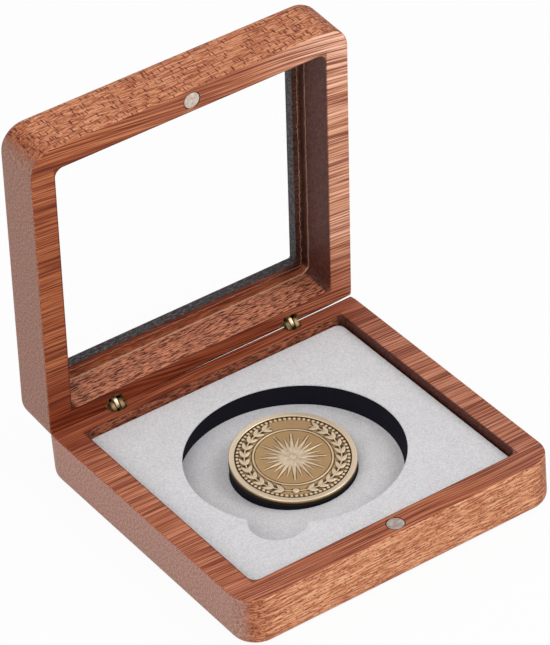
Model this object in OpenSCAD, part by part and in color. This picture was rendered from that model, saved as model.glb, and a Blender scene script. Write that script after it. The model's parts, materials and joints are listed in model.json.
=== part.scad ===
// Coin display box: a wooden tray and a glazed wooden lid on two concealed
// barrel hinges, closed by a pair of magnets, with a flannel-faced foam insert
// and one coin on a slanted rest. The lid stands open, leaning on its hinges' own stops.
// The origin is the middle of the underside: +X right, +Y to the hinges, +Z up.

/* [Box] */
// Width of the box, left to right
box_w = 76; // [72:1:90]
// Depth of the box, front to rear
box_d = 76; // [72:1:90]
// Height of the base, to its rim
base_h = 11.8; // [11.5:0.1:16]
// Thickness of the lid, from its rim to its outer face
lid_h = 12.6; // [12:0.1:16]
// Radius of the upright corners
corner_r = 5.8; // [5:0.1:7]
// Radius of the edges round the underside and the lid's outer face
edge_r = 2.2; // [1:0.1:3]
// Radius of the eased edges round both rims
rim_r = 0.4; // [0.2:0.05:0.6]

/* [Walls] */
// Width of the base's front and side rails
base_rail = 5.7; // [5.4:0.1:7]
// Width of the lid's front and side rails
lid_rail = 5.5; // [5.4:0.1:7]
// Width of both rear rails, which hold the hinges
rear_rail = 8.1; // [8:0.1:9]
// Thickness of the base's floor
floor_t = 2.2; // [1.6:0.1:2.6]
// Corner radius of the base's hollow
cavity_r = 2; // [1.5:0.1:4]
// Corner radius of the lid's hollow
lid_cavity_r = 2; // [1.5:0.1:3]

/* [Window] */
// Thickness of the glass
pane_t = 2; // [1.5:0.1:2.2]
// Depth of the glass below the lid's rim
pane_depth = 8.2; // [8:0.1:8.4]
// Width of the lip that holds the glass
lip_w = 1.9; // [1:0.1:3]
// Corner radius of the window
window_r = 0.5; // [0.3:0.1:1.5]
// Corner radius of the glass
pane_r = 3; // [3:0.1:4]

/* [Insert] */
// Depth of the insert's top below the base's rim
insert_drop = 2; // [1.5:0.1:2.4]
// Thickness of each flannel sheet
flannel_t = 0.3; // [0.2:0.1:0.8]
// Thickness of the upper sheet, foam and flannel
upper_t = 4.7; // [3.5:0.1:5]
// Diameter of the round recess
recess_d = 46.1; // [42:0.1:48]
// Where the recess is centred, left to right
recess_x = -1.1; // [-2:0.1:2]
// Radius of the finger notch at the recess's edge
notch_r = 6.2; // [4:0.1:6.5]
// How far the notch's centre lies inside the recess's edge
notch_in = 1; // [0:0.1:2]
// Direction of the finger notch, from the recess's centre
notch_angle = 227; // [215:1:235]
// Gap between the insert and the tray's walls
insert_gap = 0.4; // [0.3:0.05:0.8]
// How far the loose insert lies to the left
insert_shift = 0.25; // [0:0.05:0.25]

/* [Coin] */
// Diameter of the coin
coin_d = 26.5; // [20:0.1:30]
// Thickness of the coin at its rim
coin_t = 1.6; // [1.5:0.1:2.2]
// Where the coin lies from the recess's centre, to the right
coin_right = -0.2; // [-2:0.1:2]
// Where the coin lies from the recess's centre, to the rear
coin_back = 0.7; // [-2:0.1:2]
// How far the coin leans to the front on its rest
coin_lean = 7; // [0:0.5:8]
// Height of the front of the coin's rest above the flannel
rest_front = 0.3; // [0.3:0.1:1]

/* [Hinges and magnets] */
// Distance of each hinge from the middle
hinge_x = 22; // [18:0.5:26]
// How far the lid stands open
open_angle = 85; // [80:1:90]
// Depth of the bevel on the rear edges
rear_bevel = 4.3; // [4:0.1:4.4]
// Diameter of the hinge barrels
barrel_d = 4.7; // [4.7:0.1:5.4]
// Length of the hinge barrels
barrel_l = 7; // [5:0.5:8]
// Diameter of the magnets
magnet_d = 4; // [3:0.1:4.5]
// Length of the magnets
magnet_l = 3; // [2:0.1:4]

/* [Hidden] */
$fn = 96;

// Cutters run this far past the faces that they open
over = 1;
// Gap left between the rims of the shut box
rim_gap = 0.1;
// Gap round a glued or pressed piece
snug = 0.02;
// Gap round a turning pin, in radius
running = 0.03;
// Gap between the glass and the lid's walls
glass_gap = 0.1;
// How far magnets and barrels lie below the rim
sink = 0.06;

// The lid turns about a line just behind the front edge of the rear bevels
axis_gap = 0.12;
bevel_y = box_d / 2 - rear_bevel;
axis_y = bevel_y + axis_gap;
axis_z = base_h + rim_gap / 2;
bevel_slope = tan(open_angle / 2);
// The lid's bevel runs a little off square, so the gap behind it widens to the right
bevel_skew = -0.4;

// Each hinge is a rhombus of four pivots, the first of them that line
pin_ahead = 0.5;
pin_below = 0.55;
pin_r = 0.2;
leaf_r = 1;
leaf_gap = 0.1;
lid_leaf_t = 0.9;
base_leaf_t = 0.95;
pack_w = lid_leaf_t + 2 * base_leaf_t + 2 * leaf_gap;
slot_w = pack_w + 2 * leaf_gap;
pin_l = barrel_d - 0.7;
barrel_y = axis_y - 0.2;
base_pin_at = [axis_y - pin_ahead, axis_z - pin_below];
lid_pin_at = [
    axis_y - pin_ahead * cos(open_angle) + pin_below * sin(open_angle),
    axis_z + pin_ahead * sin(open_angle) + pin_below * cos(open_angle)];
centre_pin_at = base_pin_at + lid_pin_at - [axis_y, axis_z];
slot_front = 2 * pin_ahead + leaf_r + leaf_gap;
slot_rear = 0.8;
slot_depth = pin_below + leaf_r + leaf_gap;
relief_depth = leaf_r + leaf_gap;

// Each leaf's eye at the centre pin is cut back where the other leaf's pin passes
pin_span = norm([pin_ahead, pin_below]);
eye_r = pin_span - pin_r - leaf_gap / 2;
eye_spread = asin((pin_r + leaf_gap) / pin_span);
shut_angle = 2 * atan2(pin_below, pin_ahead);
eye_from = shut_angle - eye_spread;
eye_to = shut_angle + open_angle + eye_spread;

// The hollows lie between the front rail and the rear rail
rear_wall_y = box_d / 2 - rear_rail;
tray_w = box_w - 2 * base_rail;
tray_d = rear_wall_y + box_d / 2 - base_rail;
tray_y = rear_wall_y - tray_d / 2;
lid_hollow_w = box_w - 2 * lid_rail;
lid_hollow_d = rear_wall_y + box_d / 2 - lid_rail;
lid_hollow_y = rear_wall_y - lid_hollow_d / 2;
magnet_y = -(box_d - base_rail) / 2;

// Levels of the insert, from the floor up
insert_w = tray_w - 2 * insert_gap;
insert_d = tray_d - 2 * insert_gap;
insert_r = cavity_r - insert_gap / 2;
insert_top = base_h - insert_drop;
upper_z = insert_top - upper_t;
coin_z = upper_z - flannel_t;
recess_y = tray_y;
coin_at = [recess_x + coin_right, recess_y + coin_back];
rest_d = coin_d - 0.2;
rest_gap = 0.1;
rest_z = upper_z + rest_front + coin_d / 2 * tan(coin_lean);

// Relief of the coin: a rim, a sunk field, one ring line and a centre boss
coin_rim_w = 1.3;
coin_sunk = 0.18;
coin_ring_r = 8.6;
coin_ring_w = 0.5;
coin_boss_r = 4.2;
coin_bevel = 0.15;

module plan(w, d, r) {
    square([w - 2 * r, d], center = true);
    square([w, d - 2 * r], center = true);
    for (x = [-1, 1], y = [-1, 1])
        translate([x * (w / 2 - r), y * (d / 2 - r)]) circle(r);
}

// The upright edge's section: rounded at the outer face, eased at the rim
module edge_section(reach, h) {
    difference() {
        square([reach, h]);
        difference() {
            translate([reach - edge_r, -over]) square([edge_r + over, edge_r + over]);
            translate([reach - edge_r, edge_r]) circle(edge_r);
        }
        difference() {
            translate([reach - rim_r, h - rim_r]) square(rim_r + over);
            translate([reach - rim_r, h - rim_r]) circle(rim_r);
        }
    }
}

module full_section(reach, h) {
    edge_section(reach, h);
    mirror([1, 0]) edge_section(reach, h);
}

// One half of the box, its outer face at z = 0 and its rim at z = h
module block(h) {
    rotate([90, 0, 90]) linear_extrude(box_w - 2 * corner_r, center = true) full_section(box_d / 2, h);
    rotate([90, 0, 0]) linear_extrude(box_d - 2 * corner_r, center = true) full_section(box_w / 2, h);
    for (x = [-1, 1], y = [-1, 1])
        translate([x * (box_w / 2 - corner_r), y * (box_d / 2 - corner_r), 0])
            rotate_extrude() edge_section(corner_r, h);
}

// What the bevel takes off the rear edge of the rim
module bevel_cut(h, skew) {
    reach = rear_bevel + over;
    translate([0, bevel_y, h]) rotate([0, 0, skew]) rotate([90, 0, 90])
        linear_extrude(box_w + 2 * over, center = true)
            polygon([[0, 0], [reach, -reach * bevel_slope], [reach, over], [0, over]]);
}

// Room for the hinge leaves
module slot_cut(x, h, depth) {
    translate([x - slot_w / 2, axis_y - slot_front, h + rim_gap / 2 - depth])
        cube([slot_w, slot_front + slot_rear, depth + over]);
}

module barrel_cut(x, h) {
    translate([x, barrel_y, h - sink - barrel_l]) cylinder(d = barrel_d + 2 * snug, h = barrel_l + over);
    slot_cut(x, h, relief_depth);
}

module half_box(h, skew) {
    difference() {
        block(h);
        bevel_cut(h, skew);
        barrel_cut(-hinge_x, h);
        barrel_cut(hinge_x, h);
        translate([0, magnet_y, h - sink - magnet_l]) cylinder(d = magnet_d + 2 * snug, h = magnet_l + over);
    }
}

// Turns a half made with its rim up into the lid, standing open
module as_lid() {
    translate([0, axis_y, axis_z]) rotate([-open_angle, 0, 0]) translate([0, -axis_y, -axis_z])
        translate([0, 0, base_h + rim_gap + lid_h]) mirror([0, 0, 1]) children();
}

module base_tray() {
    color("sienna") difference() {
        half_box(base_h, 0);
        translate([0, tray_y, floor_t]) linear_extrude(base_h) plan(tray_w, tray_d, cavity_r);
    }
}

module lid_frame() {
    color("peru") as_lid() difference() {
        half_box(lid_h, bevel_skew);
        translate([0, lid_hollow_y, lid_h - pane_depth - pane_t])
            linear_extrude(lid_h) plan(lid_hollow_w, lid_hollow_d, lid_cavity_r);
        translate([0, lid_hollow_y, -over])
            linear_extrude(lid_h) plan(lid_hollow_w - 2 * lip_w, lid_hollow_d - 2 * lip_w, window_r);
    }
}

module window_pane() {
    color("lightcyan", 0.4) as_lid()
        translate([0, lid_hollow_y, lid_h - pane_depth - pane_t]) linear_extrude(pane_t)
            plan(lid_hollow_w - 2 * glass_gap, lid_hollow_d - 2 * glass_gap, pane_r);
}

module insert_plan() {
    translate([-insert_shift, tray_y]) plan(insert_w, insert_d, insert_r);
}

// The upper sheet's outline, with the recess and its finger notch
module upper_plan() {
    difference() {
        insert_plan();
        translate([recess_x, recess_y]) {
            circle(d = recess_d);
            rotate(notch_angle) translate([recess_d / 2 - notch_in, 0]) circle(notch_r);
        }
    }
}

module lower_foam() {
    color("#16161c") translate([0, 0, floor_t]) linear_extrude(coin_z - floor_t) insert_plan();
}

module lower_flannel() {
    color("gainsboro") translate([0, 0, coin_z]) linear_extrude(flannel_t) difference() {
        insert_plan();
        translate(coin_at) circle(d = rest_d + 2 * rest_gap);
    }
}

module upper_foam() {
    color("#1c1c24") translate([0, 0, upper_z]) linear_extrude(upper_t - flannel_t) upper_plan();
}

module upper_flannel() {
    color("lightgray") translate([0, 0, insert_top - flannel_t]) linear_extrude(flannel_t) upper_plan();
}

// A quarter of the coin's section: bevelled edge, rim, sunk field, ring line and boss
module coin_section() {
    r = coin_d / 2;
    difference() {
        polygon([[0, 0], [r - coin_bevel, 0], [r, coin_bevel], [r, coin_t - coin_bevel],
            [r - coin_bevel, coin_t], [0, coin_t]]);
        translate([coin_ring_r + coin_ring_w, coin_t - coin_sunk])
            square([r - coin_rim_w - coin_ring_r - coin_ring_w, over]);
        translate([coin_boss_r, coin_t - coin_sunk]) square([coin_ring_r - coin_boss_r, over]);
    }
}

// Places what is made on a level rest on the leaning one
module on_rest() {
    translate([coin_at[0], coin_at[1], rest_z]) rotate([coin_lean, 0, 0]) children();
}

// A foam wedge that stands in a hole of the lower flannel
module coin_rest() {
    color("#121218") difference() {
        translate([coin_at[0], coin_at[1], coin_z]) cylinder(d = rest_d, h = upper_t);
        on_rest() translate([-coin_d, -coin_d, 0]) cube([2 * coin_d, 2 * coin_d, upper_t]);
    }
}

module coin() {
    color("darkkhaki") on_rest() translate([0, 0, snug]) rotate_extrude() coin_section();
}

module magnet(h) {
    translate([0, magnet_y, h - sink - magnet_l]) cylinder(d = magnet_d, h = magnet_l);
}

module base_magnet() {
    color("silver") magnet(base_h);
}

module lid_magnet() {
    color("silver") as_lid() magnet(lid_h);
}

module barrel(x, h, skew) {
    difference() {
        translate([x, barrel_y, h - sink - barrel_l]) cylinder(d = barrel_d, h = barrel_l);
        bevel_cut(h, skew);
        slot_cut(x, h, slot_depth);
        translate([x, axis_y - pin_ahead, h + rim_gap / 2 - pin_below]) rotate([0, 90, 0])
            cylinder(r = pin_r + snug / 2, h = barrel_d + over, center = true);
    }
}

module base_barrel(x) {
    color("goldenrod") barrel(x, base_h, 0);
}

module lid_barrel(x) {
    color("goldenrod") as_lid() barrel(x, lid_h, bevel_skew);
}

module pin(x, at, l) {
    color("darkgoldenrod") translate([x, at[0], at[1]]) rotate([0, 90, 0])
        cylinder(r = pin_r, h = l, center = true);
}

// What is cut off round the eye of a leaf that runs from it along +x, where the other pin passes on the left
module eye_cut() {
    reach = 3 * leaf_r;
    middle = (eye_from + eye_to) / 2;
    difference() {
        polygon([
            [0, 0], reach * [cos(eye_from), sin(eye_from)],
            reach * [cos(middle), sin(middle)], reach * [cos(eye_to), sin(eye_to)]]);
        circle(eye_r);
    }
}

// A plate with round ends and a hole at each pivot, its near face at x; side tells the way to its eye's cut
module leaf(x, t, from, to, from_gap, to_gap, side) {
    run = from - to;
    color("khaki") translate([x, 0, 0]) rotate([90, 0, 90]) linear_extrude(t) difference() {
        union() {
            translate(from) circle(leaf_r);
            translate(to) circle(leaf_r);
            translate(to) rotate(atan2(run[1], run[0])) translate([0, -leaf_r])
                square([norm(run), 2 * leaf_r]);
        }
        translate(from) circle(pin_r + from_gap);
        translate(to) circle(pin_r + to_gap);
        translate(to) rotate(atan2(run[1], run[0])) scale([1, side]) eye_cut();
    }
}

// The outer and inner plates that turn on the base's pin and hold the centre pin
module base_leaf(x, side) {
    near = side > 0 ? lid_leaf_t / 2 + leaf_gap : -lid_leaf_t / 2 - leaf_gap - base_leaf_t;
    leaf(x + near, base_leaf_t, base_pin_at, centre_pin_at, running, snug / 2, 1);
}

module lid_leaf(x) {
    leaf(x - lid_leaf_t / 2, lid_leaf_t, lid_pin_at, centre_pin_at, running, 2 * running, -1);
}

base_tray();
lid_frame();
window_pane();
lower_foam();
lower_flannel();
upper_foam();
upper_flannel();
coin_rest();
coin();
base_magnet();
lid_magnet();
base_barrel(-hinge_x);  // left_base_barrel
lid_barrel(-hinge_x);  // left_lid_barrel
pin(-hinge_x, base_pin_at, pin_l);  // left_base_pin
pin(-hinge_x, lid_pin_at, pin_l);  // left_lid_pin
base_leaf(-hinge_x, -1);  // left_base_leaf_outer
base_leaf(-hinge_x, 1);  // left_base_leaf_inner
lid_leaf(-hinge_x);  // left_lid_leaf
pin(-hinge_x, centre_pin_at, pack_w);  // left_centre_pin
base_barrel(hinge_x);  // right_base_barrel
lid_barrel(hinge_x);  // right_lid_barrel
pin(hinge_x, base_pin_at, pin_l);  // right_base_pin
pin(hinge_x, lid_pin_at, pin_l);  // right_lid_pin
base_leaf(hinge_x, 1);  // right_base_leaf_outer
base_leaf(hinge_x, -1);  // right_base_leaf_inner
lid_leaf(hinge_x);  // right_lid_leaf
pin(hinge_x, centre_pin_at, pack_w);  // right_centre_pin
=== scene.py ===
# %% [markdown]
# # A coin display box
# The box is packed in CAD as separate pieces. This lesson dresses them: the wood, glass and brass
# keep their CAD solids and get finishes, and what is soft or struck gets a finer surface of its own.

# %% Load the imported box
import json
import math

import bmesh
import bpy
import numpy as np
from mathutils import Matrix, Vector


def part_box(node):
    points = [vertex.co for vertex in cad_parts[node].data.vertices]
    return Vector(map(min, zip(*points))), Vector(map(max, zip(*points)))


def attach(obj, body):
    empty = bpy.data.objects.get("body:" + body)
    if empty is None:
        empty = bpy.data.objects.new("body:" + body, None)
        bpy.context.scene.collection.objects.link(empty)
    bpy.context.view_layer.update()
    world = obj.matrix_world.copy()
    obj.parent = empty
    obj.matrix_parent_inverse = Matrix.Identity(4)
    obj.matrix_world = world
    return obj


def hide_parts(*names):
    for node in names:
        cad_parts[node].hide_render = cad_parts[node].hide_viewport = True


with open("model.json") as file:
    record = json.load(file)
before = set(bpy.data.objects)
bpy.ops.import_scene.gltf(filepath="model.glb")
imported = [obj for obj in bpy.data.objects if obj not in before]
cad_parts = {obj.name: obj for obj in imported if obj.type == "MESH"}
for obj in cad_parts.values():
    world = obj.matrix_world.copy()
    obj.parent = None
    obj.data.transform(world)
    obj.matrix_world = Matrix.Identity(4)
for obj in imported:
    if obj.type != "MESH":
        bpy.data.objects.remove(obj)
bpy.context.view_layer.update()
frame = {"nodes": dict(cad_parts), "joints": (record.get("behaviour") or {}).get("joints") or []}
nodes = frame["nodes"]
MM = 0.001

# %% [markdown]
# ## The camera
# The picture was taken from the front left, a little above the box, with a long lens. A camera is
# a point and three directions, so they are worked out from the two angles of the view, the small
# roll of the horizon and the distance, and written straight into the camera's matrix.

# %% Set the camera
PICTURE_W = 550
FOCAL_PIXELS = 4207.6
SENSOR_MM = 36.0
VIEW_AZIMUTH, VIEW_ELEVATION, VIEW_ROLL = np.radians([31.27, 35.84, -5.16])
VIEW_DISTANCE = 0.8576
VIEW_TARGET = np.array([0.0, 0.0, 0.012955])
PICTURE_SLIDE = np.array([0.00404, -0.0230])

view_dir = np.array([
    math.sin(VIEW_AZIMUTH) * math.cos(VIEW_ELEVATION),
    math.cos(VIEW_AZIMUTH) * math.cos(VIEW_ELEVATION),
    -math.sin(VIEW_ELEVATION),
])
level_right = np.array([math.cos(VIEW_AZIMUTH), -math.sin(VIEW_AZIMUTH), 0.0])
level_up = np.cross(level_right, view_dir)
view_right = math.cos(VIEW_ROLL) * level_right + math.sin(VIEW_ROLL) * level_up
view_up = math.cos(VIEW_ROLL) * level_up - math.sin(VIEW_ROLL) * level_right
slide = PICTURE_SLIDE[0] * view_right + PICTURE_SLIDE[1] * view_up
eye = VIEW_TARGET - VIEW_DISTANCE * view_dir - slide

camera_data = bpy.data.cameras.new("camera")
camera_data.sensor_fit = "HORIZONTAL"
camera_data.sensor_width = SENSOR_MM
camera_data.lens = SENSOR_MM * FOCAL_PIXELS / PICTURE_W
camera = bpy.data.objects.new("camera", camera_data)
camera_axes = np.eye(4)
camera_axes[:3] = np.column_stack([view_right, view_up, -view_dir, eye])
camera.matrix_world = Matrix(camera_axes.tolist())
bpy.context.scene.collection.objects.link(camera)
bpy.context.scene.camera = camera
bpy.context.scene.view_settings.view_transform = "Standard"
print(f"lens {camera_data.lens:.1f} mm, eye at {np.round(eye, 3)} m")

# %% [markdown]
# ## Writing materials as sums
# A finish is a small formula: bands plus streaks, minus pores. The class below wraps a socket so
# that such a formula can be typed as Python arithmetic, and each sign adds its own Math node.

# %% Arithmetic on shader sockets
MIX_SHARE, MIX_FIRST, MIX_SECOND, MIX_RESULT = 0, 6, 7, 2


class Value:
    """One output socket in a tree of nodes. Arithmetic on it adds Math nodes to that tree."""

    def __init__(self, owner, socket):
        self.owner = owner
        self.socket = socket

    def math(self, operation, *others):
        return self.owner.add("Math", {"operation": operation}, [self, *others])

    def __add__(self, other):
        return self.math("ADD", other)

    def __sub__(self, other):
        return self.math("SUBTRACT", other)

    def __mul__(self, other):
        return self.math("MULTIPLY", other)

    def __rsub__(self, other):
        return self.owner.add("Math", {"operation": "SUBTRACT"}, [other, self])

    __radd__ = __add__
    __rmul__ = __mul__

    def step(self, low, high):
        """0 below low and 1 above high, with a smooth ramp between."""
        sockets = {"Value": self, "From Min": low, "From Max": high}
        return self.owner.add("MapRange", {"interpolation_type": "SMOOTHSTEP"}, sockets)

    def size(self):
        """The value without its sign."""
        return self.math("ABSOLUTE")


class NodeTree:
    """The nodes of a material or of the world."""

    def __init__(self, tree):
        self.tree = tree

    def plug(self, socket, value):
        """Links a value to a socket, or sets the socket to a number or a colour."""
        if isinstance(value, Value):
            self.tree.links.new(value.socket, socket)
        else:
            socket.default_value = value

    def add(self, kind, settings=None, values=(), output=0):
        """Adds a shader node: its settings first, then its sockets by place or by name."""
        node = self.tree.nodes.new("ShaderNode" + kind)
        for key, value in (settings or {}).items():
            setattr(node, key, value)
        pairs = values.items() if isinstance(values, dict) else enumerate(values)
        for key, value in pairs:
            self.plug(node.inputs[key], value)
        return Value(self, node.outputs[output])


class Finish(NodeTree):
    """A material, its Principled shader, and the nodes that feed it."""

    def __init__(self, name, **constants):
        self.material = bpy.data.materials.new(name)
        self.material.use_nodes = True
        super().__init__(self.material.node_tree)
        self.shader = self.tree.nodes["Principled BSDF"]
        self.feed(**constants)

    def feed(self, **sockets):
        """Plugs constants, and what varies over the surface, into the Principled shader."""
        for name, value in sockets.items():
            self.plug(self.shader.inputs[name.replace("_", " ")], value)

    def place(self, turn=(0, 0, 0), shift=(0, 0, 0)):
        """Object coordinates in millimetres, turned and then shifted."""
        point = self.add("TexCoord", output="Object")
        sockets = {"Vector": point, "Scale": (1 / MM,) * 3, "Rotation": turn, "Location": shift}
        return self.add("Mapping", {}, sockets)

    def stretch(self, point, scale, shift=(0, 0, 0)):
        """A point times a scale for each axis, so that a pattern has so many features to a millimetre."""
        return self.add("Mapping", {}, {"Vector": point, "Scale": scale, "Location": shift})

    def noise(self, point, scale, detail, rough):
        """Cloudy noise from 0 to 1, with about so many clouds to a millimetre along each axis."""
        spread = self.stretch(point, scale)
        sockets = {"Vector": spread, "Scale": 1.0, "Detail": detail, "Roughness": rough}
        return self.add("TexNoise", {}, sockets)

    def cells(self, point, scale, shift=(0, 0, 0)):
        """How far a point is from the nearest of scattered centres, counted in their mean spacing."""
        spread = self.stretch(point, scale, shift)
        sockets = {"Vector": spread, "Scale": 1.0, "Randomness": 0.9}
        return self.add("TexVoronoi", {}, sockets, "Distance")

    def axes(self, point):
        """The three coordinates of a point as values."""
        split = self.add("SeparateXYZ", {}, [point])
        return [Value(self, socket) for socket in split.socket.node.outputs]

    def blend(self, share, first, second, how="MIX"):
        """Mixes two colours by a share from 0 to 1, with the Mix node's sockets for colours."""
        node = self.tree.nodes.new("ShaderNodeMix")
        node.data_type = "RGBA"
        node.blend_type = how
        for key, value in ((MIX_SHARE, share), (MIX_FIRST, first), (MIX_SECOND, second)):
            self.plug(node.inputs[key], value)
        return Value(self, node.outputs[MIX_RESULT])

    def bump(self, height, strength, distance):
        """A surface direction tilted as if the height rose by the distance, in metres."""
        return self.add("Bump", {}, {"Strength": strength, "Distance": distance, "Height": height})


def srgb(red, green, blue):
    """A colour given on a screen's scale, 0 to 255, as the linear colour that shaders take."""
    share = np.array([red, green, blue]) / 255.0
    linear = np.where(share <= 0.04045, share / 12.92, ((share + 0.055) / 1.055) ** 2.4)
    return (*linear.tolist(), 1.0)


def coat(node, finish):
    """Gives a CAD node a finish."""
    nodes[node].data.materials.clear()
    nodes[node].data.materials.append(finish.material)


# %% [markdown]
# ## The wood
# Both halves are milled from one reddish-brown board whose fibres run left to right. So the rims
# show long streaks, the front shows rows of short dark pores, and the ends show grain cut across.
# One pattern in space gives all three, because each face cuts the same fibres at its own angle.
# The pattern is worked out for the closed box, so the open lid's points are turned shut first.

# %% Where the lid shuts
pivots = {joint["name"]: np.array(joint["pos_m"]) / MM for joint in frame["joints"] if "pos_m" in joint}
OPEN_ANGLE = math.radians(85)
HINGE_LINE = Vector(pivots["lid_hinge"])
LID_TURN = Matrix.Rotation(OPEN_ANGLE, 3, "X")
LID_SHIFT = HINGE_LINE - LID_TURN @ HINGE_LINE
print("the lid turns about y", round(HINGE_LINE.y, 2), "z", round(HINGE_LINE.z, 2), "mm")

# %% The wood's patterns
SWAY_SCALE, SWAY_REACH = (0.022, 0.03, 0.03), 4.0
BAND_SCALE, LINE_SCALE = (0.01, 0.3, 0.3), (0.05, 3.6, 3.6)
PORE_SCALE = (1.0, 0.12, 1.9)
TICK_SCALE, TICK_SHIFT = (1.7, 0.12, 0.4), (7, 3, 5)
GRIT_SCALE, FLECK_SCALE = (0.38, 0.4, 3.4), (0.65, 0.65, 5.6)
SPECKLE_SCALE = (1.0, 2.0, 2.0)
DARK_FIBRE, MIDDLE_FIBRE, PALE_FIBRE = 0.38, 0.5, 0.62


class WoodFinish(Finish):
    """Wood with fibres along x. Scales are features to a millimetre along x, y and z of the shut box."""

    def __init__(self, name, turn, shift, board_shift, slant):
        super().__init__(name, Specular_IOR_Level=0.25)
        self.spot = self.place(turn, shift)
        normal = self.add("TexCoord", output="Normal")
        turned = {"Vector": normal, "Rotation": turn}
        facing = self.add("VectorRotate", {"rotation_type": "EULER_XYZ"}, turned)
        self.x, self.y, self.z = self.axes(self.spot)
        self.face_x, self.face_y = [value.size() for value in self.axes(facing)[:2]]
        board = self.stretch(self.spot, (1, 1, 1), board_shift)
        sway = self.noise(board, SWAY_SCALE, detail=1.0, rough=0.5)
        along, deep, high = self.axes(board)
        bent = self.add("CombineXYZ", {}, [along, deep + SWAY_REACH * sway + slant * along, high])
        self.bands = self.noise(bent, BAND_SCALE, detail=1.0, rough=0.5)
        self.lines = self.noise(bent, LINE_SCALE, detail=2.0, rough=0.62)
        self.pores = self.cells(board, PORE_SCALE)
        self.ticks = self.cells(board, TICK_SCALE, TICK_SHIFT)
        self.grit = self.noise(bent, GRIT_SCALE, detail=2.0, rough=0.7)
        self.flecks = self.noise(bent, FLECK_SCALE, detail=1.0, rough=0.6)
        self.speckle = self.noise(board, SPECKLE_SCALE, detail=2.0, rough=0.75)

    def fibres(self, value, dark, middle, pale):
        """Dark fibres at low values, pale ones at high values."""
        tone = self.blend(value.step(DARK_FIBRE, MIDDLE_FIBRE), dark, middle)
        return self.blend(value.step(MIDDLE_FIBRE, PALE_FIBRE), tone, pale)

    def tint(self, share, tone, colour):
        """Multiplies a tone by a colour where the share is 1."""
        return self.blend(share, tone, (*colour, 1.0), "MULTIPLY")


def off_opening(finish, middle_y, half):
    """How far a point is outside an upright rectangular opening, in millimetres, and below 0 inside it."""
    off_side = finish.x.size() - half[0]
    off_end = (finish.y - middle_y).size() - half[1]
    return off_side.math("MAXIMUM", off_end)


print("the wood's patterns are bands, lines, pores, ticks, grit, flecks and speckle")

# %% [markdown]
# Tints tell the places of one board apart, such as its darker rear, which is painted shade by the hinge,
# where the open lid and the base shade each other. Each place fades in between two distances in
# millimetres, and each pattern between two of its values. The tone is then built up in layers: rims,
# upright faces, pores, ends.

# %% The wood's tones
LEFT_FADE, RIGHT_FADE = (10.0, -30.0), (12.0, 34.0)
FRONT_FADE, REAR_FADE = (-24.0, -32.0), (12.0, 30.0)
OUTSIDE_FADE = (1.5, 3.0)
SHADED_EDGE_FADE = (0.32, 0.12)
RIM_Z = pivots["lid_hinge"][2]
RIM_FADE = (1.5, 1.0)
FACING_FADE = (0.35, 0.65)
END_FADE, INNER_END_FADE = (0.6, 0.95), (0.25, 0.6)
BAND_FADE, PORE_FADE, TICK_FADE = (0.52, 0.4), (0.32, 0.2), (0.33, 0.22)
ROUGH_FADE, MOTTLE_FADE = (0.43, 0.57), (0.3, 0.7)
STREAK_GAIN, STREAK_SHIFT = 1.5, 0.25
ROUGH_GRIT, ROUGH_FLECKS = 0.45, 0.55
PORE_SINK, LINE_RISE = 0.6, 0.4
WOOD_ROUGH, LINE_POLISH = 0.66, 0.2
GRAIN_STRENGTH, GRAIN_DEPTH = 0.4, 0.08 * MM


def rim_tone(finish, off_hollow, tints):
    """Long streaks, darker in the broad bands, with painted shade along the hollow's edge."""
    tone = finish.fibres(finish.lines, srgb(112, 50, 30), srgb(168, 94, 62), srgb(204, 134, 95))
    tone = finish.tint(finish.bands.step(*BAND_FADE), tone, (0.9, 0.83, 0.77))
    # partly the board's tone and partly painted sheen: the lid's right rail is painted paler for the milky
    # sheen it catches
    tone = finish.tint(finish.x.step(*LEFT_FADE), tone, tints["left"])
    tone = finish.tint(finish.x.step(*RIGHT_FADE), tone, tints["right"])
    tone = finish.tint(finish.y.step(*FRONT_FADE), tone, tints["front_rim"])
    near_rim = (finish.z - RIM_Z).size().step(*RIM_FADE)
    # painted shade: the rim next to the hollow is darkened where its rounded inner edge turns away from the
    # light
    return finish.tint(off_hollow.step(*SHADED_EDGE_FADE) * near_rim, tone, (0.5, 0.4, 0.36))


def face_tone(finish, outside, tints, grit_share):
    """The shorter streaks of the front and the rear, and the rougher cut of the walls inside. The outer
    faces' paler palette is partly their grain and partly painted light.
    """
    line_gain, grit_gain = STREAK_GAIN * (1.0 - grit_share), STREAK_GAIN * grit_share
    streaks = line_gain * finish.lines + grit_gain * finish.grit - STREAK_SHIFT
    # partly painted light: the outer faces are paler than the rims for the brighter light and sheen they
    # catch
    outer = finish.fibres(streaks, srgb(156, 88, 56), srgb(206, 136, 94), srgb(238, 182, 138))
    outer = finish.tint(1.0, outer, tints["front_face"])
    rough_cut = ROUGH_GRIT * finish.grit + ROUGH_FLECKS * finish.flecks
    inner = finish.blend(rough_cut.step(*ROUGH_FADE), srgb(92, 38, 24), srgb(238, 170, 132))
    inner = finish.tint(1.0, inner, tints["inner_face"])
    return finish.blend(outside, inner, outer)


def with_ends(finish, tone, outside, tints):
    """Adds the ends, where the grain is cut across: darker corners, greyer ends, and inner ends made dark
    partly as end grain and partly as painted shade.
    """
    mottled = finish.speckle.step(*MOTTLE_FADE)
    end_tone = finish.blend(mottled, srgb(134, 94, 82), srgb(192, 146, 130))
    end_tone = finish.tint(1.0, end_tone, tints["end"])
    corner = 2.0 * finish.face_x * finish.face_y * outside
    tone = finish.tint(corner, tone, (0.66, 0.52, 0.46))
    tone = finish.blend(finish.face_x.step(*END_FADE) * outside, tone, end_tone)
    # painted shade in part: the end walls inside the hollows are darkened for their end grain and for the
    # light that doesn't reach them
    inner_end_grain_and_shade = finish.blend(mottled, srgb(52, 21, 15), srgb(98, 52, 40))
    return finish.blend(finish.face_x.step(*INNER_END_FADE) * (1.0 - outside), tone, inner_end_grain_and_shade)


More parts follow.
